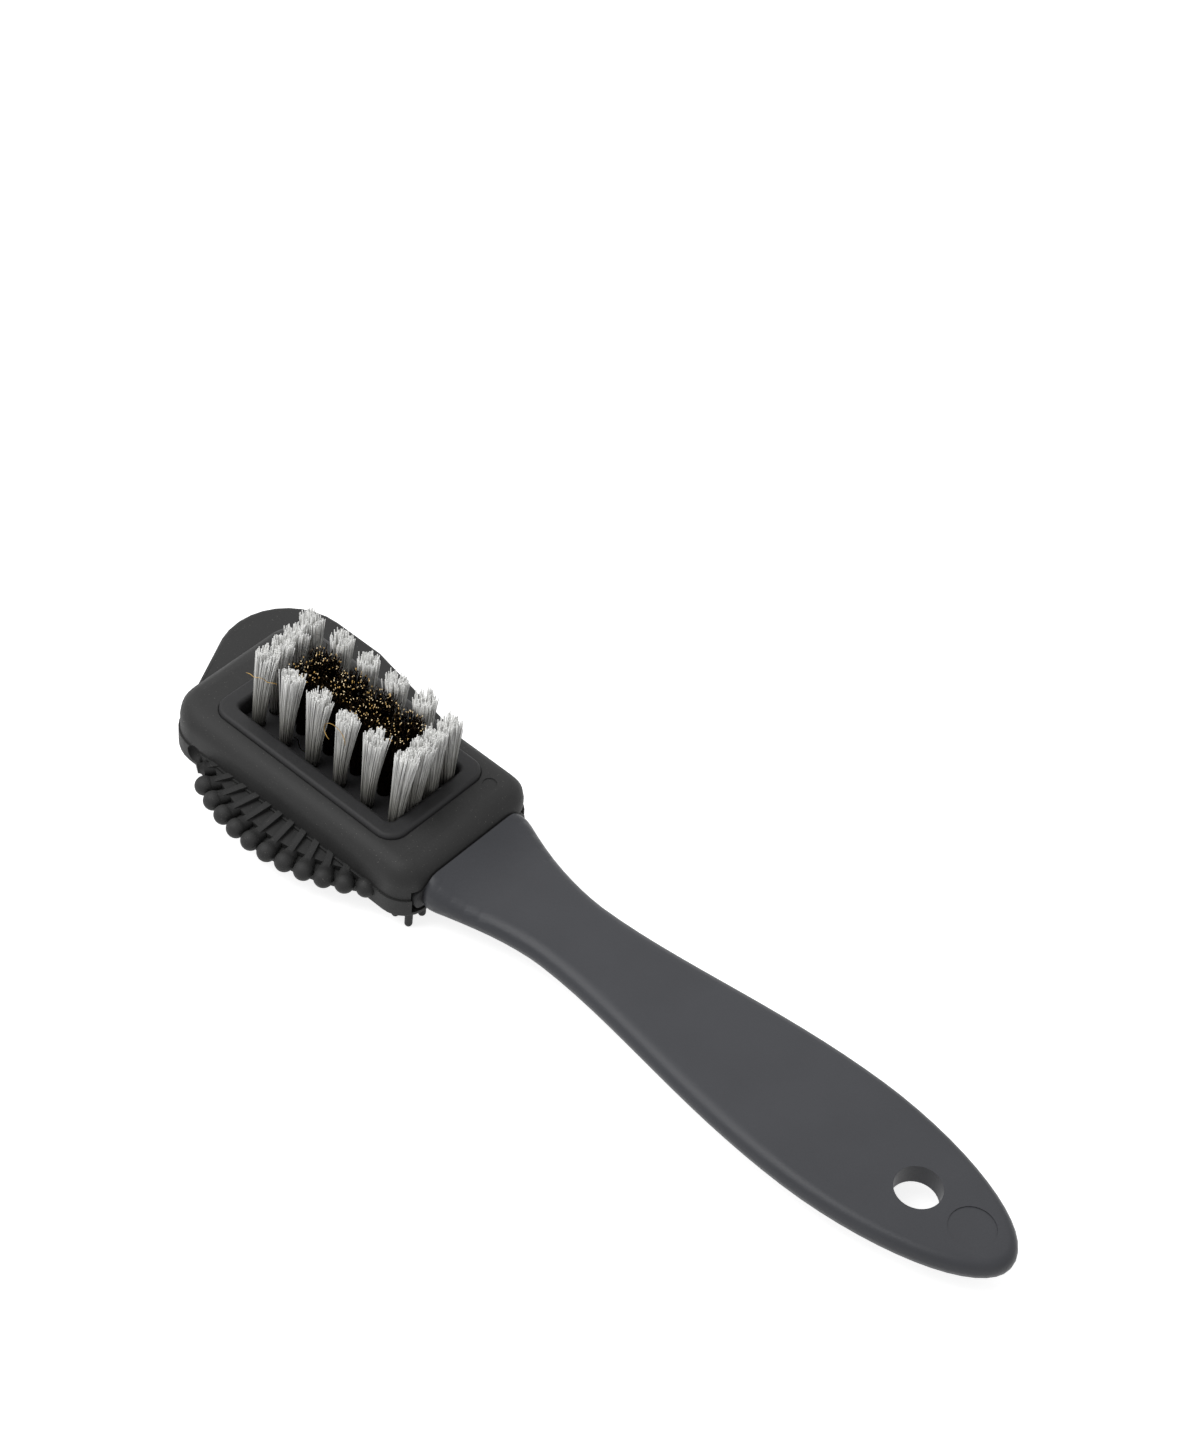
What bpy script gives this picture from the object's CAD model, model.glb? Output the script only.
import math

import bmesh
import bpy
import numpy as np
from mathutils import Matrix, Vector


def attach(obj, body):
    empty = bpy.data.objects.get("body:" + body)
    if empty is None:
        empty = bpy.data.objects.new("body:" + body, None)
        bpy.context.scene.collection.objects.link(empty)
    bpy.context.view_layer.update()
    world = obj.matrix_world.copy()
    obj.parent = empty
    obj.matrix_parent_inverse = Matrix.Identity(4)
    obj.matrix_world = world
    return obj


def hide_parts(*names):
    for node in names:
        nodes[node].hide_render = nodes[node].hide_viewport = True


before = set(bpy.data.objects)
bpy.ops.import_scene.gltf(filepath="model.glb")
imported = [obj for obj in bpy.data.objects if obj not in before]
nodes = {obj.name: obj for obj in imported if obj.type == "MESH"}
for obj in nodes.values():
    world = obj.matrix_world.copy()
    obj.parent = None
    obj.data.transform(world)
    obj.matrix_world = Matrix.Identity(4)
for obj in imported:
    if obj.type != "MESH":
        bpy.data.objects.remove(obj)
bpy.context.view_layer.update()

# A suede brush: a flat plastic handle whose head wears a moulded rubber boot.
# The boot has a comb of knobs, a soft lip and a field of pins. Nylon and brass tufts stand in its window.
# Sizes are in millimetres, from the middle of the boot's top face. X runs to the end of the handle.

MM = 0.001
HEAD = np.array([-48.75, 0.3, 13.7])  # the middle of the boot's top face, in the part's frame
SEAM_X = 27.3  # where the neck leaves the boot

# The tuft field. Rows run along the brush. The first row is on the comb side, the first column at the tip.
ROWS_Y = (-6.0, -2.0, 2.0, 6.0)
COLUMNS = 6
COLUMN_PITCH = 6.1
FIRST_COLUMN_X = -14.55
FLOOR_Z = -2.8  # the recess floor
HOLE_R = 1.08  # the tuft holes
ROOT_DEPTH = 1.0  # how far the strands go on below the floor
TALLEST = 14.7  # no free end stands higher, which keeps the strands about as high as the solids
SEED = 7

NYLON_GAUGE, NYLON_SIDES, NYLON_STEPS = 0.165, 5, 8
BRASS_GAUGE, BRASS_SIDES, BRASS_STEPS = 0.13, 4, 24
CRIMP, CRIMP_WAVES = 0.14, 6.5  # half the height of the wave, and how many one wire has
CRIMP_GROWN = 0.25  # the wave has its full height after this share of the wire
LOCKS = 8  # strands cling together in this many locks in one tuft
GOLDEN_ANGLE = math.pi * (3 - math.sqrt(5))  # it spreads points evenly over a disc
ANY_TURN = 6.28  # a random turn is between nought and this, in radians

# The grip, and the softer lines that the moulding has and the solid has not.
GRIP_TOP, GRIP_THICK = -4.8, 4.0
NECK_RISE, RISE_RUN = 2.4, 10.0  # the neck is this much deeper at the boot, and falls off over this length
SHOULDER_R, SHOULDER_RUN = 1.6, 3.0  # each corner beside the boot is drawn in by this much over this length
DRAFT, DRAFT_RUN = 0.9, 9.0  # the top of the neck is narrower on each side than its underside
EDGE_R, SOFTER_R = 1.8, 2.7  # rounding of the solid's top edge, and the wider one of the moulding
SOFTER_TO, SOFTER_END = 85.0, 115.0  # the wider one fades out between these places
LAST_FIXED_X = SEAM_X - 0.02  # points up to here stay where they are
RING_START, RING_STEP = SEAM_X + 0.2, 0.5  # cuts across the neck that give it points to move
LEAST_HALF_WIDTH = 6.0  # a narrower ring of points belongs to the hole, the mark or the very end
OUT_OF_REACH = 1000.0  # a distance past every run, for the core inside the boot

# Shading: points closer than this are one, and edges steeper than this stay sharp.
SAME_POINT = 0.004
SHARP_DEGREES = 34.0

# The colour sockets of a Mix node, and its colour output.
MIX_FACTOR, MIX_FIRST, MIX_SECOND, MIX_RESULT = 0, 6, 7, 2


def place_mm(point):
    """Points given from the middle of the boot's top, as metres in the part's frame."""
    return (np.asarray(point, float) + HEAD) * MM


def show(name, data):
    """A new object in the scene that carries a mesh, a lamp or a camera."""
    made = bpy.data.objects.new(name, data)
    bpy.context.scene.collection.objects.link(made)
    return made


# Camera and light


def photo_camera():
    """A short telephoto above the comb side. It looks back along the brush from the handle's end."""
    eye = Vector((169.28, -234.29, 363.23)) * MM
    turn, height, roll = (math.radians(degrees) for degrees in (-54.178, 46.681, 7.575))
    level = math.cos(height)
    back = Vector((level * math.cos(turn), level * math.sin(turn), math.sin(height)))
    right = Vector((-math.sin(turn), math.cos(turn), 0.0))
    up = back.cross(right)
    across = math.cos(roll) * right + math.sin(roll) * up
    upward = -math.sin(roll) * right + math.cos(roll) * up
    lens = bpy.data.cameras.new("photo_camera")
    lens.lens = 73.592
    lens.sensor_fit = "AUTO"
    lens.sensor_width = 36.0
    lens.clip_start = 0.01
    lens.clip_end = 10.0
    camera = show("photo_camera", lens)
    camera.matrix_world = Matrix.Translation(eye) @ Matrix((across, upward, back)).transposed().to_4x4()
    bpy.context.scene.camera = camera


def softbox(name, direction, distance, size, power):
    """A square lamp that looks at the middle of the brush from a direction. Metres and watts."""
    lamp = bpy.data.lights.new(name, "AREA")
    lamp.shape = "SQUARE"
    lamp.size = size
    lamp.energy = power
    holder = show(name, lamp)
    away = Vector(direction).normalized()
    middle = Vector((0.0, 0.0, 0.01))
    holder.location = middle + away * distance
    holder.rotation_mode = "QUATERNION"
    holder.rotation_quaternion = away.to_track_quat("Z", "Y")


def studio():
    """White paper sweep under the brush, an even pale surround, and two big soft lamps."""
    reach = 3.0
    corners = [(-reach, -reach, 0), (reach, -reach, 0), (reach, reach, 0), (-reach, reach, 0)]
    floor = bpy.data.meshes.new("paper_sweep")
    floor.from_pydata(corners, [], [(0, 1, 2, 3)])
    floor.materials.append(white_paper())
    sweep = show("paper_sweep", floor)
    pale_surround()
    softbox("front_softbox", (-0.38, -0.32, 0.87), distance=1.6, size=1.1, power=17.0)
    softbox("back_softbox", (-0.3, 0.6, 0.74), distance=1.6, size=1.0, power=2.0)


# Nodes and colours


def linear(code):
    """An sRGB hex colour as linear red, green, blue and alpha."""
    parts = [int(code[i:i + 2], 16) / 255 for i in (1, 3, 5)]
    return [c / 12.92 if c <= 0.04045 else ((c + 0.055) / 1.055) ** 2.4 for c in parts] + [1.0]


def add(tree, kind, inputs=None, stops=(), **settings):
    """A node with its settings. An input that is a socket is linked, and anything else is its value. A ramp
    has stops too, each a place and a hex colour, in rising order."""
    node = tree.nodes.new(kind)
    for name, value in settings.items():
        setattr(node, name, value)
    for key, value in (inputs or {}).items():
        if isinstance(value, bpy.types.NodeSocket):
            tree.links.new(value, node.inputs[key])
        else:
            node.inputs[key].default_value = value
    for number, (place, code) in enumerate(stops):
        steps = node.color_ramp.elements
        step = steps[number] if number < len(steps) else steps.new(place)
        step.position = place
        step.color = linear(code)
    return node


def new_material(name):
    made = bpy.data.materials.new(name)
    made.use_nodes = True
    made.node_tree.nodes.clear()
    return made, made.node_tree


def per_metre(size_mm):
    """The texture scale whose features are about this many millimetres across."""
    return 1000.0 / size_mm


# Materials of the moulded pieces


def moulded_polypropylene():
    """Handle. Dark cool grey polypropylene from a lightly spark-eroded mould: satin, with a fine even grain.
    Broad faint flow clouds keep the flat face from reading as one tone. The head is duller than the grip,
    because no hand polishes it. The real grain is finer than a pixel, so it is drawn 0.42 mm wide."""
    made, tree = new_material("moulded_satin_polypropylene")
    where = add(tree, "ShaderNodeTexCoord").outputs["Object"]
    along = add(tree, "ShaderNodeSeparateXYZ", {"Vector": where}).outputs["X"]
    grip = add(tree, "ShaderNodeMapRange", {
        "Value": along, "To Min": 0.0, "To Max": 1.0,
        "From Min": (HEAD[0] + SEAM_X + 0.1) * MM, "From Max": (HEAD[0] + SEAM_X + 0.3) * MM,
    }).outputs["Result"]
    cloud = add(tree, "ShaderNodeTexNoise", {
        "Vector": where, "Scale": per_metre(14.0), "Detail": 3.0,
    }).outputs["Fac"]
    grain = add(tree, "ShaderNodeTexNoise", {
        "Vector": where, "Scale": per_metre(0.42), "Detail": 3.0,
    }).outputs["Fac"]
    dull = add(tree, "ShaderNodeValToRGB", {"Fac": cloud}, stops=((0.35, "#262627"), (0.65, "#2a2a2b")))
    satin = add(tree, "ShaderNodeValToRGB", {"Fac": cloud}, stops=((0.35, "#393a3e"), (0.65, "#3e3f43")))
    colour = add(tree, "ShaderNodeMix", {
        MIX_FIRST: dull.outputs["Color"], MIX_SECOND: satin.outputs["Color"], MIX_FACTOR: grip,
    }, data_type="RGBA")
    unhandled = add(tree, "ShaderNodeMapRange", {
        "Value": cloud, "From Min": 0.3, "From Max": 0.7, "To Min": 0.54, "To Max": 0.62,
    }).outputs["Result"]
    polish = add(tree, "ShaderNodeMath", {0: grip, 1: 0.14}, operation="MULTIPLY").outputs[0]
    gloss = add(tree, "ShaderNodeMath", {0: unhandled, 1: polish}, operation="SUBTRACT").outputs[0]
    bump = add(tree, "ShaderNodeBump", {"Height": grain, "Strength": 0.5, "Distance": 0.05 * MM})
    skin = add(tree, "ShaderNodeBsdfPrincipled", {
        "Base Color": colour.outputs[MIX_RESULT], "Roughness": gloss,
        "IOR": 1.49, "Specular IOR Level": 0.3, "Normal": bump.outputs["Normal"],
    })
    add(tree, "ShaderNodeOutputMaterial", {"Surface": skin.outputs["BSDF"]})
    return made


def moulded_rubber():
    """Boot. Near-black thermoplastic rubber: matt, slightly pebbled by the mould, with fine pale dust on it.
    The real pebbles and dust are finer than a pixel, so they are drawn 0.45 mm and 0.3 mm wide."""
    made, tree = new_material("moulded_matt_rubber")
    where = add(tree, "ShaderNodeTexCoord").outputs["Object"]
    cloud = add(tree, "ShaderNodeTexNoise", {
        "Vector": where, "Scale": per_metre(9.0), "Detail": 4.0,
    }).outputs["Fac"]
    pebble = add(tree, "ShaderNodeTexNoise", {
        "Vector": where, "Scale": per_metre(0.45), "Detail": 3.0,
    }).outputs["Fac"]
    specks = add(tree, "ShaderNodeTexNoise", {
        "Vector": where, "Scale": per_metre(0.3), "Detail": 1.0,
    }).outputs["Fac"]
    rubber = add(tree, "ShaderNodeValToRGB", {"Fac": cloud}, stops=((0.35, "#282828"), (0.65, "#2f2f2f")))
    dust = add(tree, "ShaderNodeMapRange", {
        "Value": specks, "From Min": 0.70, "From Max": 0.80, "To Min": 0.0, "To Max": 0.3,
    }).outputs["Result"]
    colour = add(tree, "ShaderNodeMix", {
        MIX_FIRST: rubber.outputs["Color"], MIX_SECOND: linear("#8a8782"), MIX_FACTOR: dust,
    }, data_type="RGBA")
    gloss = add(tree, "ShaderNodeMapRange", {
        "Value": cloud, "From Min": 0.3, "From Max": 0.7, "To Min": 0.57, "To Max": 0.67,
    }).outputs["Result"]
    bump = add(tree, "ShaderNodeBump", {"Height": pebble, "Strength": 0.5, "Distance": 0.06 * MM})
    skin = add(tree, "ShaderNodeBsdfPrincipled", {
        "Base Color": colour.outputs[MIX_RESULT], "Roughness": gloss,
        "IOR": 1.5, "Specular IOR Level": 0.28, "Normal": bump.outputs["Normal"],
    })
    add(tree, "ShaderNodeOutputMaterial", {"Surface": skin.outputs["BSDF"]})
    return made


# Materials of the tufts


def drawn_nylon():
    """Outer tufts. Clear white nylon filament: it glows at the free ends, and near its root the dark recess
    shows through it. Each filament is a little lighter or darker than the next, so the shades run along the
    strands and are 0.3 mm wide, which is about two filaments."""
    made, tree = new_material("drawn_nylon_filament")
    where = add(tree, "ShaderNodeTexCoord").outputs["Object"]
    height = add(tree, "ShaderNodeSeparateXYZ", {"Vector": where}).outputs["Z"]
    rise = add(tree, "ShaderNodeMapRange", {
        "Value": height, "To Min": 0.0, "To Max": 1.0,
        "From Min": (HEAD[2] - 2.5) * MM, "From Max": (HEAD[2] + 11.0) * MM,
    }).outputs["Result"]
    depth = add(tree, "ShaderNodeValToRGB", {"Fac": rise}, stops=(
        (0.0, "#666561"), (0.35, "#a6a59f"), (0.7, "#e0e0dc"), (1.0, "#fafaf8"),
    ))
    strand = add(tree, "ShaderNodeMapping", {"Vector": where, "Scale": (1.0, 1.0, 0.04)}).outputs["Vector"]
    tone = add(tree, "ShaderNodeTexNoise", {
        "Vector": strand, "Scale": per_metre(0.3), "Detail": 1.0,
    }).outputs["Fac"]
    light = add(tree, "ShaderNodeMapRange", {
        "Value": tone, "From Min": 0.3, "From Max": 0.7, "To Min": 0.66, "To Max": 1.08,
    }).outputs["Result"]
    colour = add(tree, "ShaderNodeMix", {
        MIX_FIRST: depth.outputs["Color"], MIX_SECOND: light, MIX_FACTOR: 1.0,
    }, data_type="RGBA", blend_type="MULTIPLY")
    skin = add(tree, "ShaderNodeBsdfPrincipled", {
        "Base Color": colour.outputs[MIX_RESULT], "Roughness": 0.32, "IOR": 1.53,
    })
    add(tree, "ShaderNodeOutputMaterial", {"Surface": skin.outputs["BSDF"]})
    return made


def drawn_brass(name, dark, pale, roughness):
    """Brass wire. Air stains it in patches of about a millimetre, which run from a dark to a pale colour."""
    made, tree = new_material(name)
    where = add(tree, "ShaderNodeTexCoord").outputs["Object"]
    stain = add(tree, "ShaderNodeTexNoise", {
        "Vector": where, "Scale": per_metre(0.9), "Detail": 2.0,
    }).outputs["Fac"]
    colour = add(tree, "ShaderNodeValToRGB", {"Fac": stain}, stops=((0.4, dark), (0.62, pale)))
    skin = add(tree, "ShaderNodeBsdfPrincipled", {
        "Base Color": colour.outputs["Color"], "Metallic": 1.0, "Roughness": roughness,
    })
    add(tree, "ShaderNodeOutputMaterial", {"Surface": skin.outputs["BSDF"]})
    return made


def drawn_steel():
    """Anchors. Flat galvanised steel wire, deep in the tuft holes: pale grey with faint drawing lines."""
    made, tree = new_material("drawn_galvanised_steel")
    where = add(tree, "ShaderNodeTexCoord").outputs["Object"]
    drawn = add(tree, "ShaderNodeMapping", {"Vector": where, "Scale": (0.05, 1.0, 1.0)}).outputs["Vector"]
    lines = add(tree, "ShaderNodeTexNoise", {
        "Vector": drawn, "Scale": per_metre(0.2), "Detail": 2.0,
    }).outputs["Fac"]
    colour = add(tree, "ShaderNodeValToRGB", {"Fac": lines}, stops=((0.3, "#8e9194"), (0.7, "#a9acb0")))
    skin = add(tree, "ShaderNodeBsdfPrincipled", {
        "Base Color": colour.outputs["Color"], "Metallic": 1.0, "Roughness": 0.4,
    })
    add(tree, "ShaderNodeOutputMaterial", {"Surface": skin.outputs["BSDF"]})
    return made


# Paper and surround


def seen_directly(tree):
    """One for rays from the camera, from a reflection or through something clear, and nought for light."""
    rays = add(tree, "ShaderNodeLightPath").outputs
    seen = rays["Is Camera Ray"]
    for other in ("Is Glossy Ray", "Is Transmission Ray"):
        seen = add(tree, "ShaderNodeMath", {0: seen, 1: rays[other]}, operation="MAXIMUM").outputs[0]
    return seen


def white_paper():
    """Sweep. The camera sees it white, and the shadow of the brush darkens it."""
    made, tree = new_material("white_paper_sweep")
    paper = add(tree, "ShaderNodeBsdfDiffuse", {"Color": linear("#d8d8d8")}).outputs["BSDF"]
    glow = add(tree, "ShaderNodeEmission", {"Color": linear("#ffffff"), "Strength": 0.8}).outputs["Emission"]
    both = add(tree, "ShaderNodeAddShader", {0: paper, 1: glow}).outputs[0]
    surface = add(tree, "ShaderNodeMixShader", {0: seen_directly(tree), 1: paper, 2: both}).outputs[0]
    add(tree, "ShaderNodeOutputMaterial", {"Surface": surface})
    return made


def pale_surround():
    """The world is white where it is seen, and lights the brush at two fifths of that."""
    world = bpy.data.worlds.new("pale_surround")
    world.use_nodes = True
    bpy.context.scene.world = world
    tree = world.node_tree
    tree.nodes.clear()
    level = add(tree, "ShaderNodeMapRange", {
        "Value": seen_directly(tree), "From Min": 0.0, "From Max": 1.0, "To Min": 0.4, "To Max": 1.0,
    }).outputs["Result"]
    sky = add(tree, "ShaderNodeBackground", {"Color": linear("#ffffff"), "Strength": level})
    add(tree, "ShaderNodeOutputWorld", {"Surface": sky.outputs["Background"]})


# Tufts


def strands(name, paths, gauge, sides, skin, cut, shiny=0.0, rng=None):
    """One mesh of round strands. Each path runs from the root to the cut end, in millimetres. A share of
    them ends in a shiny burr that is a little thicker."""
    burr_size, burr_rings = 1.3, 2
    count, steps = paths.shape[:2]
    turn = np.arange(sides) * 2 * math.pi / sides
    ring = np.stack([np.cos(turn), np.sin(turn), 0 * turn], 1) * gauge / 2
    bright = rng.uniform(0, 1, count) < shiny if shiny else np.zeros(count, bool)
    burr = np.ones((count, steps, 1, 1))
    burr[bright, -burr_rings:] = burr_size
    points = place_mm((paths[:, :, None, :] + ring * burr).reshape(-1, 3))

    side = np.arange(sides)
    next_side = (side + 1) % sides
    wall = np.stack([side, next_side, next_side + sides, side + sides], 1)
    ring_starts = (np.arange(count)[:, None] * steps + np.arange(steps - 1)).reshape(-1, 1, 1) * sides
    walls = (wall + ring_starts).reshape(-1, 4)
    strand_starts = np.arange(count)[:, None] * steps * sides
    roots = strand_starts + side[::-1]
    ends = strand_starts + (steps - 1) * sides + side
    faces = walls.tolist() + roots.tolist() + ends.tolist()

    shows_cut = np.zeros(len(faces), int)
    shows_cut[len(walls) + count:] = bright
    last_walls = (np.flatnonzero(bright)[:, None] * (steps - 1) + steps - 2) * sides + side
    shows_cut[last_walls.ravel()] = 1
    smooth = np.ones(len(faces), bool)
    smooth[len(walls):] = False

    mesh = bpy.data.meshes.new(name)
    mesh.from_pydata(points.tolist(), [], faces)
    mesh.materials.append(skin)
    mesh.materials.append(cut)
    mesh.polygons.foreach_set("material_index", shows_cut)
    mesh.polygons.foreach_set("use_smooth", smooth)
    mesh.update()
    return show(name, mesh)


def tuft_paths(x, y, top, count, steps, flare, lean, clump, stray, rng):
    """Strands that leave one round hole and fan out. Neighbours cling together in locks of their own length,
    and a share of stray ones stands out from the rest. Clump is how far a strand moves towards its lock."""
    packed = 0.9  # the share of the hole's width that is full at the root
    slant = 0.6  # the share of its whole slant that a strand sets off with
    root_scatter, tip_scatter, lock_reach = 0.05, 0.06, 0.9  # shares of the tuft's radius
    lock_lengths, strand_lengths = 1.6 * clump, 0.22  # how much the heights differ
    outer, stray_reach = 0.6, 1.3  # a stray strand stands further out than this, and goes this much further
    number = np.arange(count)
    reach = np.sqrt((number + 0.5) / count)
    angle = number * GOLDEN_ANGLE + rng.uniform(0, ANY_TURN)
    disc = np.stack([reach * np.cos(angle), reach * np.sin(angle)], 1)
    disc = disc + rng.normal(0, root_scatter, (count, 2))
    locks = rng.uniform(-lock_reach, lock_reach, (LOCKS, 2))
    lock = np.argmin(((disc[:, None] - locks) ** 2).sum(2), 1)
    tip = disc + (locks[lock] - disc) * clump + rng.normal(0, tip_scatter, (count, 2))
    tip *= np.where((rng.uniform(0, 1, count) < stray) & (reach > outer), stray_reach, 1.0)[:, None]
    height = top + rng.normal(0, lock_lengths, LOCKS)[lock] + rng.normal(0, strand_lengths, count)
    height = np.minimum(height, TALLEST)
    root = np.concatenate([disc * HOLE_R * packed, np.full((count, 1), FLOOR_Z - ROOT_DEPTH)], 1)
    end = np.concatenate([tip * flare + lean, height[:, None]], 1)
    t = np.linspace(0, 1, steps)[None, :, None]
    spread = slant * t + (1 - slant) * t * t
    path = root[:, None] + (end - root)[:, None] * np.concatenate([spread, spread, t], 2)
    return path + np.array([x, y, 0.0])


def columns():
    """The middle of each tuft, row by row from the comb side, and whether it is one of the inner ones."""
    for row, y in enumerate(ROWS_Y):
        for column in range(COLUMNS):
            inner = 0 < row < len(ROWS_Y) - 1 and 0 < column < COLUMNS - 1
            yield row, column, COLUMN_PITCH * column + FIRST_COLUMN_X, y, inner


def nylon_tuft(name, row, column, x, y, skin, rng):
    """An outer tuft leans towards the handle, and one in an end column also towards the middle. The one on
    the far corner at the tip stands taller."""
    inwards = -0.16 if column in (0, COLUMNS - 1) else -0.05
    onwards = 1.15 if row < 2 else 0.7
    taller = 0.6 if (row, column) == (3, 0) else 0.0
    path = tuft_paths(
        x, y, top=13.5 + taller, count=140, steps=NYLON_STEPS, flare=(2.1, 1.85),
        lean=(onwards, inwards * y), clump=0.2, stray=0.03, rng=rng,
    )
    return strands(name, path, NYLON_GAUGE, NYLON_SIDES, skin, skin)


def brass_tuft(name, x, y, wire, cut, rng):
    """Inner tufts meet above the floor in one dark field. Each wire is crimped in a wave of its own, starts
    straight and has a short last stretch. A share of the cut ends shines."""
    count, end_stretch, shiny = 170, 0.4, 0.24
    path = tuft_paths(
        x, y, top=12.3, count=count, steps=BRASS_STEPS, flare=(3.2, 2.2),
        lean=(0.95, -0.03 * y), clump=0.08, stray=0.1, rng=rng,
    )
    t = np.linspace(0, 1, BRASS_STEPS)
    phase = rng.uniform(0, ANY_TURN, (count, 2, 1))
    wave = CRIMP * np.sin(t * 2 * math.pi * CRIMP_WAVES + phase) * np.minimum(1, t / CRIMP_GROWN)
    path[:, :, :2] += wave.transpose(0, 2, 1)
    path[:, -1] = path[:, -2] + (path[:, -1] - path[:, -2]) * end_stretch
    return strands(name, path, BRASS_GAUGE, BRASS_SIDES, wire, cut, shiny, rng)


def tufts():
    """Filaments and wires in place of the plain tufts. The inner brass has browned in the air, so the field
    is nearly black inside. Its cut ends are clean metal and glint as points of gold."""
    nylon = drawn_nylon()
    wire = drawn_brass("crimped_browned_brass", "#110c08", "#35281a", 0.42)
    cut = drawn_brass("freshly_cut_brass", "#c9a360", "#ffecc4", 0.3)
    made_nylon = made_brass = 0
    for row, column, x, y, inner in columns():
        rng = np.random.default_rng(100 * row + column + SEED)
        if inner:
            made_brass += 1
            piece = brass_tuft(f"brass_wires_{made_brass:02d}", x, y, wire, cut, rng)
            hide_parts(f"brass_tuft_{made_brass:02d}")
        else:
            made_nylon += 1
            piece = nylon_tuft(f"nylon_filaments_{made_nylon:02d}", row, column, x, y, nylon, rng)
            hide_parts(f"nylon_tuft_{made_nylon:02d}")
        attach(piece, "root")
    loose_wires(cut)


def loose_wires(cut):
    """Three shed wires. One lies across the first outer tuft, one hooks round the fourth, and one lies on
    the recess floor. Rubbed in the open, they are brighter than the wires in the field."""
    wire = drawn_brass("loose_bright_brass", "#8d6d3c", "#c9a562", 0.35)
    steps, sides = 24, 5
    t = np.linspace(0, 1, steps)[:, None]

    start, run, ripple = np.array([-15.4, -7.95, 9.6]), np.array([6.3, 0.35, 1.9]), 0.12
    across = start + run * t
    across[:, 1:] += ripple * np.sin(t * 14 + np.array([0, 1.5]))

    middle, bow_r, opening = np.array([3.9, -7.75, 10.0]), 2.0, 0.25
    bend = math.radians(60) - t * math.radians(250)
    hook = middle + bow_r * np.concatenate([-np.cos(bend), 0 * t, -np.sin(bend)], 1) * (1 + opening * t)

    start, run, ripple = np.array([-8.3, -4.1, FLOOR_Z + 0.1]), np.array([4.6, -1.5, 0.0]), 0.25
    lying = start + run * t
    lying[:, 1] += ripple * np.sin(t[:, 0] * 9)

    piece = strands("loose_brass_wires", np.stack([across, hook, lying]), BRASS_GAUGE, sides, wire, cut)
    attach(piece, "root")


# Finish of the moulded pieces


def soften_facets(piece):
    """Rounds the shading over small steps and keeps real edges sharp. The shape stays as it is."""
    group = bpy.data.node_groups.new("soften_" + piece.name, "GeometryNodeTree")
    group.interface.new_socket("Geometry", in_out="INPUT", socket_type="NodeSocketGeometry")
    group.interface.new_socket("Geometry", in_out="OUTPUT", socket_type="NodeSocketGeometry")
    shape = add(group, "NodeGroupInput").outputs[0]
    shape = add(group, "GeometryNodeRemoveAttribute", {
        "Geometry": shape, "Name": "custom_normal",
    }).outputs[0]
    shape = add(group, "GeometryNodeMergeByDistance", {
        "Geometry": shape, "Distance": SAME_POINT * MM,
    }).outputs[0]
    for domain in ("FACE", "EDGE"):
        shape = add(group, "GeometryNodeSetShadeSmooth", {
            "Geometry": shape, "Shade Smooth": True,
        }, domain=domain).outputs[0]
    angle = add(group, "GeometryNodeInputMeshEdgeAngle").outputs[0]
    steep = add(group, "FunctionNodeCompare", {
        0: angle, 1: math.radians(SHARP_DEGREES),
    }, data_type="FLOAT", operation="GREATER_THAN").outputs[0]
    shape = add(group, "GeometryNodeSetShadeSmooth", {
        "Geometry": shape, "Selection": steep, "Shade Smooth": False,
    }, domain="EDGE").outputs[0]
    add(group, "NodeGroupOutput", {0: shape})
    piece.modifiers.new("soften", "NODES").node_group = group
    weigh = piece.modifiers.new("flat_faces_stay_flat", "WEIGHTED_NORMAL")
    weigh.keep_sharp = True
    weigh.weight = 100


def ringed_handle(name):
    """A copy of the handle's mesh, cut across just inside the boot and then at each step of the neck."""
    on_plane = 1e-6  # metres: a point this near the cut is on it
    shape = bmesh.new()
    shape.from_mesh(nodes["handle"].data)
    for x in [LAST_FIXED_X, *np.arange(RING_START, SEAM_X + RISE_RUN, RING_STEP)]:
        bmesh.ops.bisect_plane(
            shape, geom=shape.verts[:] + shape.edges[:] + shape.faces[:], dist=on_plane,
            plane_co=place_mm((x, 0, 0)).tolist(), plane_no=(1, 0, 0),
        )
    mesh = bpy.data.meshes.new(name)
    shape.to_mesh(mesh)
    shape.free()
    return mesh


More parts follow.
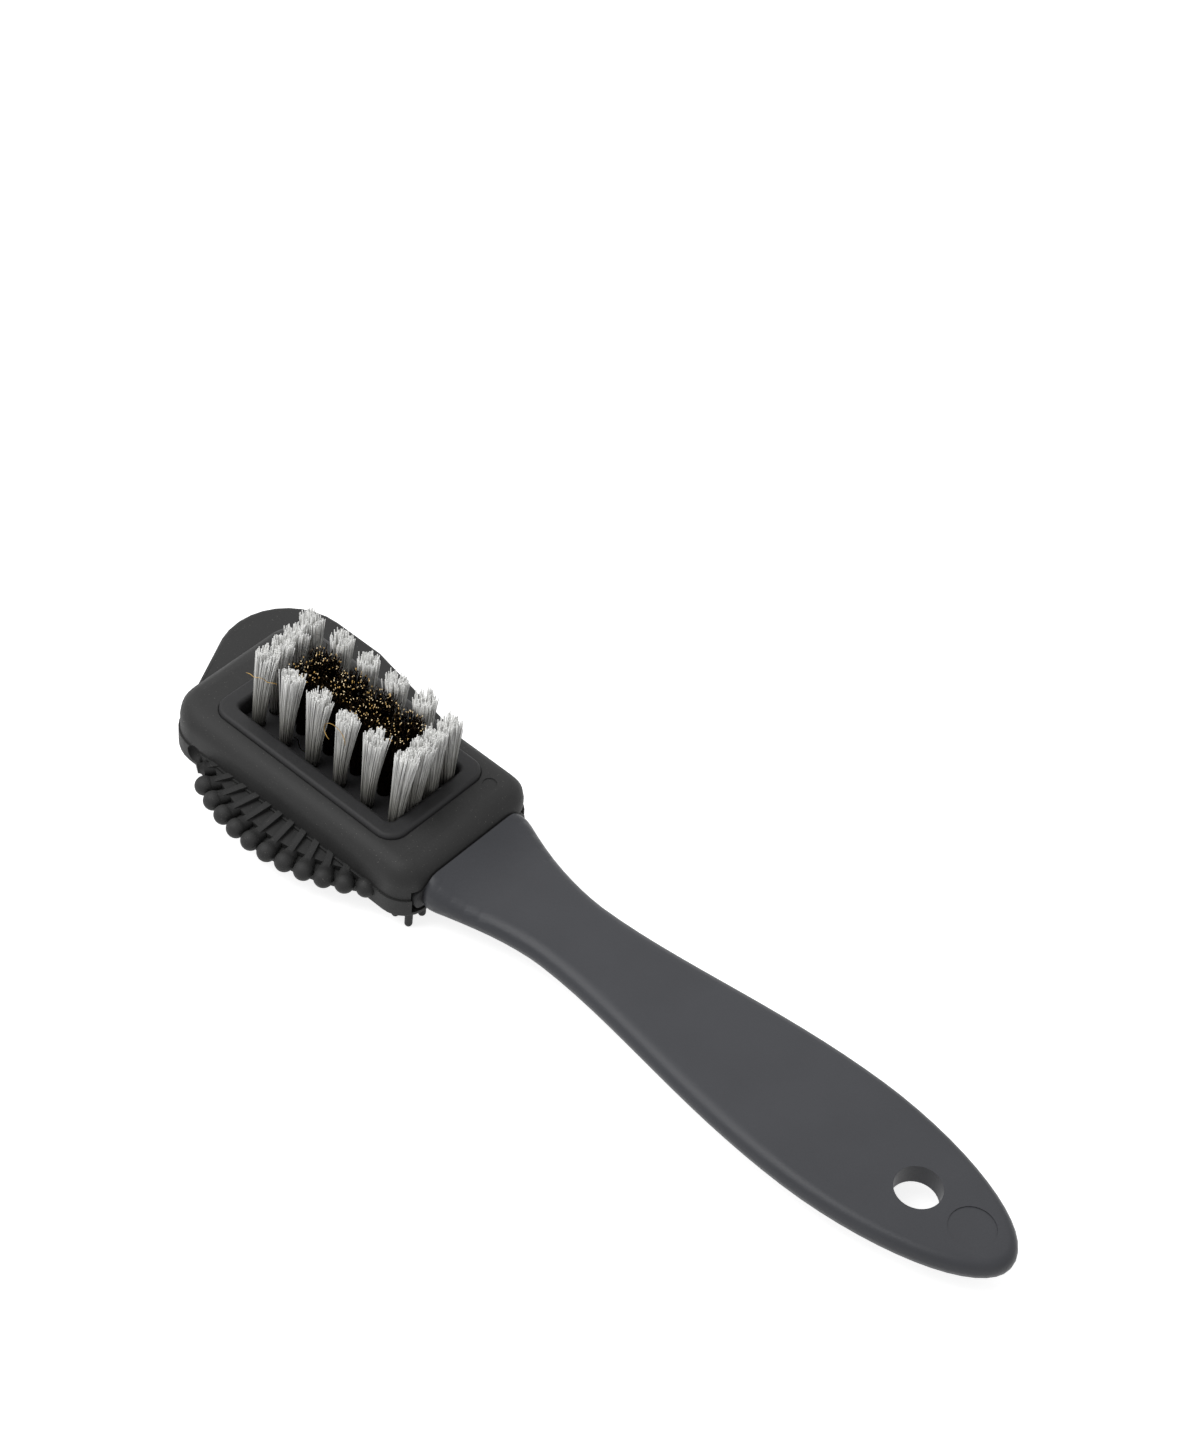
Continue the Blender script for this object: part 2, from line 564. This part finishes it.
def half_width(x, y, outside):
    """Half the handle's width at each place along it, from the widest point of each ring past the boot."""
    stations, station = np.unique(x[outside].round(2), return_inverse=True)
    half = np.zeros(len(stations))
    np.maximum.at(half, station.ravel(), np.abs(y[outside]))
    full = half > LEAST_HALF_WIDTH
    return np.interp(x, stations[full], half[full])


def soft_lines(points):
    """The handle's points, moved to the softer lines of the moulding. Where the neck leaves the boot it is
    deeper on top and its two shoulders are rounded. Along the neck and grip the top edges are rounded
    further in. The core inside the boot stays, and so does the underside, apart from the shoulders."""
    x, y, z = points.T
    outside = x > RING_START - RING_STEP / 10
    past_seam = np.where(outside, x - SEAM_X, OUT_OF_REACH)
    level = np.clip((z - GRIP_TOP + GRIP_THICK) / GRIP_THICK, 0, 1)
    corner = np.clip(1 - past_seam / SHOULDER_RUN, 0, 1)
    slope = level * np.clip(1 - past_seam / DRAFT_RUN, 0, 1) ** 2
    pull = SHOULDER_R * (1 - np.sqrt(1 - corner ** 2)) + DRAFT * slope
    up_edge = np.clip(1 - (GRIP_TOP - z) / EDGE_R, 0, 1)
    fade = np.clip((SOFTER_END - x) / (SOFTER_END - SOFTER_TO), 0, 1)
    rounding = fade * (SOFTER_R - EDGE_R) * (1 - np.sqrt(1 - up_edge ** 2))
    pull += np.where(outside, rounding, 0)
    raised = level * NECK_RISE * np.clip(1 - past_seam / RISE_RUN, 0, 1) ** 2
    return np.stack([x, y * (1 - pull / half_width(x, y, outside)), z + raised], 1)


def moulded_handle(skin):
    """The handle with the softer lines of the moulding, in place of the solid one."""
    mesh = ringed_handle("moulded_handle")
    metres = np.empty(len(mesh.vertices) * 3)
    mesh.vertices.foreach_get("co", metres)
    points = metres.reshape(-1, 3) / MM - HEAD
    mesh.vertices.foreach_set("co", place_mm(soft_lines(points)).ravel())
    mesh.materials.clear()
    mesh.materials.append(skin)
    mesh.update()
    piece = show("moulded_handle", mesh)
    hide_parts("handle")
    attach(piece, "root")
    soften_facets(piece)


def dress(name, material):
    """Gives one node of the frame its material."""
    for place in nodes[name].material_slots:
        place.material = material


bpy.context.scene.view_settings.view_transform = "Standard"
photo_camera()
studio()
dress("rubber_boot", moulded_rubber())
dress("tuft_staples", drawn_steel())
moulded_handle(moulded_polypropylene())
soften_facets(nodes["rubber_boot"])
tufts()
